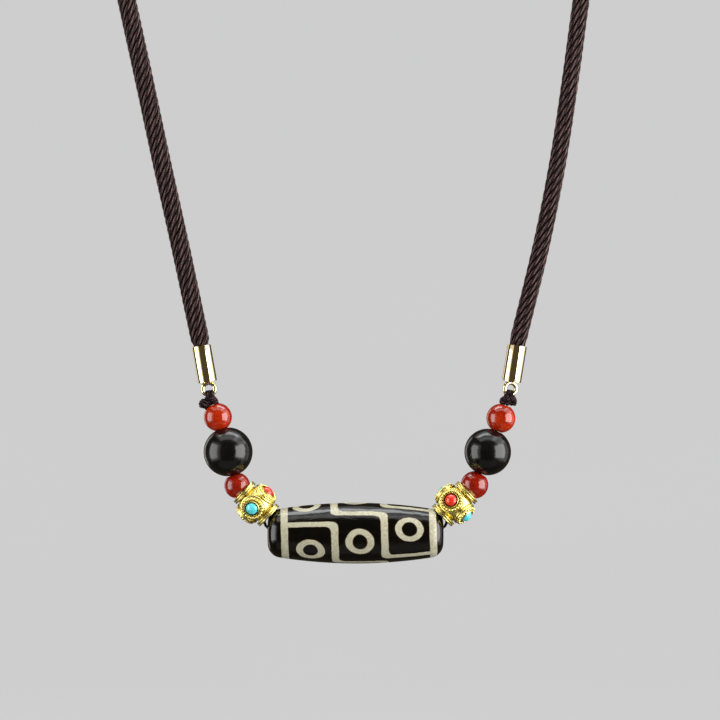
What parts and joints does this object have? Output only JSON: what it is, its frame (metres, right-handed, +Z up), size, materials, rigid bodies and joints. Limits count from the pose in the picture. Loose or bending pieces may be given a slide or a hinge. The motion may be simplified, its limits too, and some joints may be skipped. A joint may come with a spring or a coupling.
{
  "type": "dzi bead necklace",
  "caption": "Necklace of a barrel-shaped dzi bead between gilt spacers set with turquoise and coral, round stone beads and a twisted rope with end caps.",
  "frame": {"origin": "at the nape, on the inner side of the rope, where the necklace rests on the back of the neck", "axes": "+X to the right as seen from the front, +Y to the back of the wearer, +Z up; the long bead hangs in front and below, along X"},
  "size_m": [0.127, 0.1383, 0.2184],
  "materials": {
    "rope": "twisted silky yarns, dark brown",
    "thread": "thin waxed thread, dark brown",
    "cap_gilt": "polished pale gilt",
    "carnelian": "polished translucent orange red",
    "dark_carnelian": "polished translucent dark red",
    "black_stone": "satin black",
    "gilt": "polished yellow gilt",
    "turquoise": "polished blue green",
    "coral": "polished orange red",
    "dzi_stone": "polished near black with cream lines and rings"
  },
  "bodies": {
    "root": {"rope": "rope", "thread": "thread", "left_knot": "thread", "right_knot": "thread", "left_end_cap": "cap_gilt", "right_end_cap": "cap_gilt", "left_carnelian_upper": "carnelian", "right_carnelian_upper": "carnelian", "left_carnelian_lower": "dark_carnelian", "right_carnelian_lower": "dark_carnelian", "left_black_bead": "black_stone", "right_black_bead": "black_stone", "left_spacer": "gilt", "right_spacer": "gilt", "left_turquoise_front": "turquoise", "left_turquoise_back": "turquoise", "right_turquoise_lower": "turquoise", "right_turquoise_upper": "turquoise", "left_coral_upper": "coral", "left_coral_lower": "coral", "right_coral_front": "coral", "right_coral_back": "coral", "dzi_bead": "dzi_stone"}
  },
  "joints": []
}
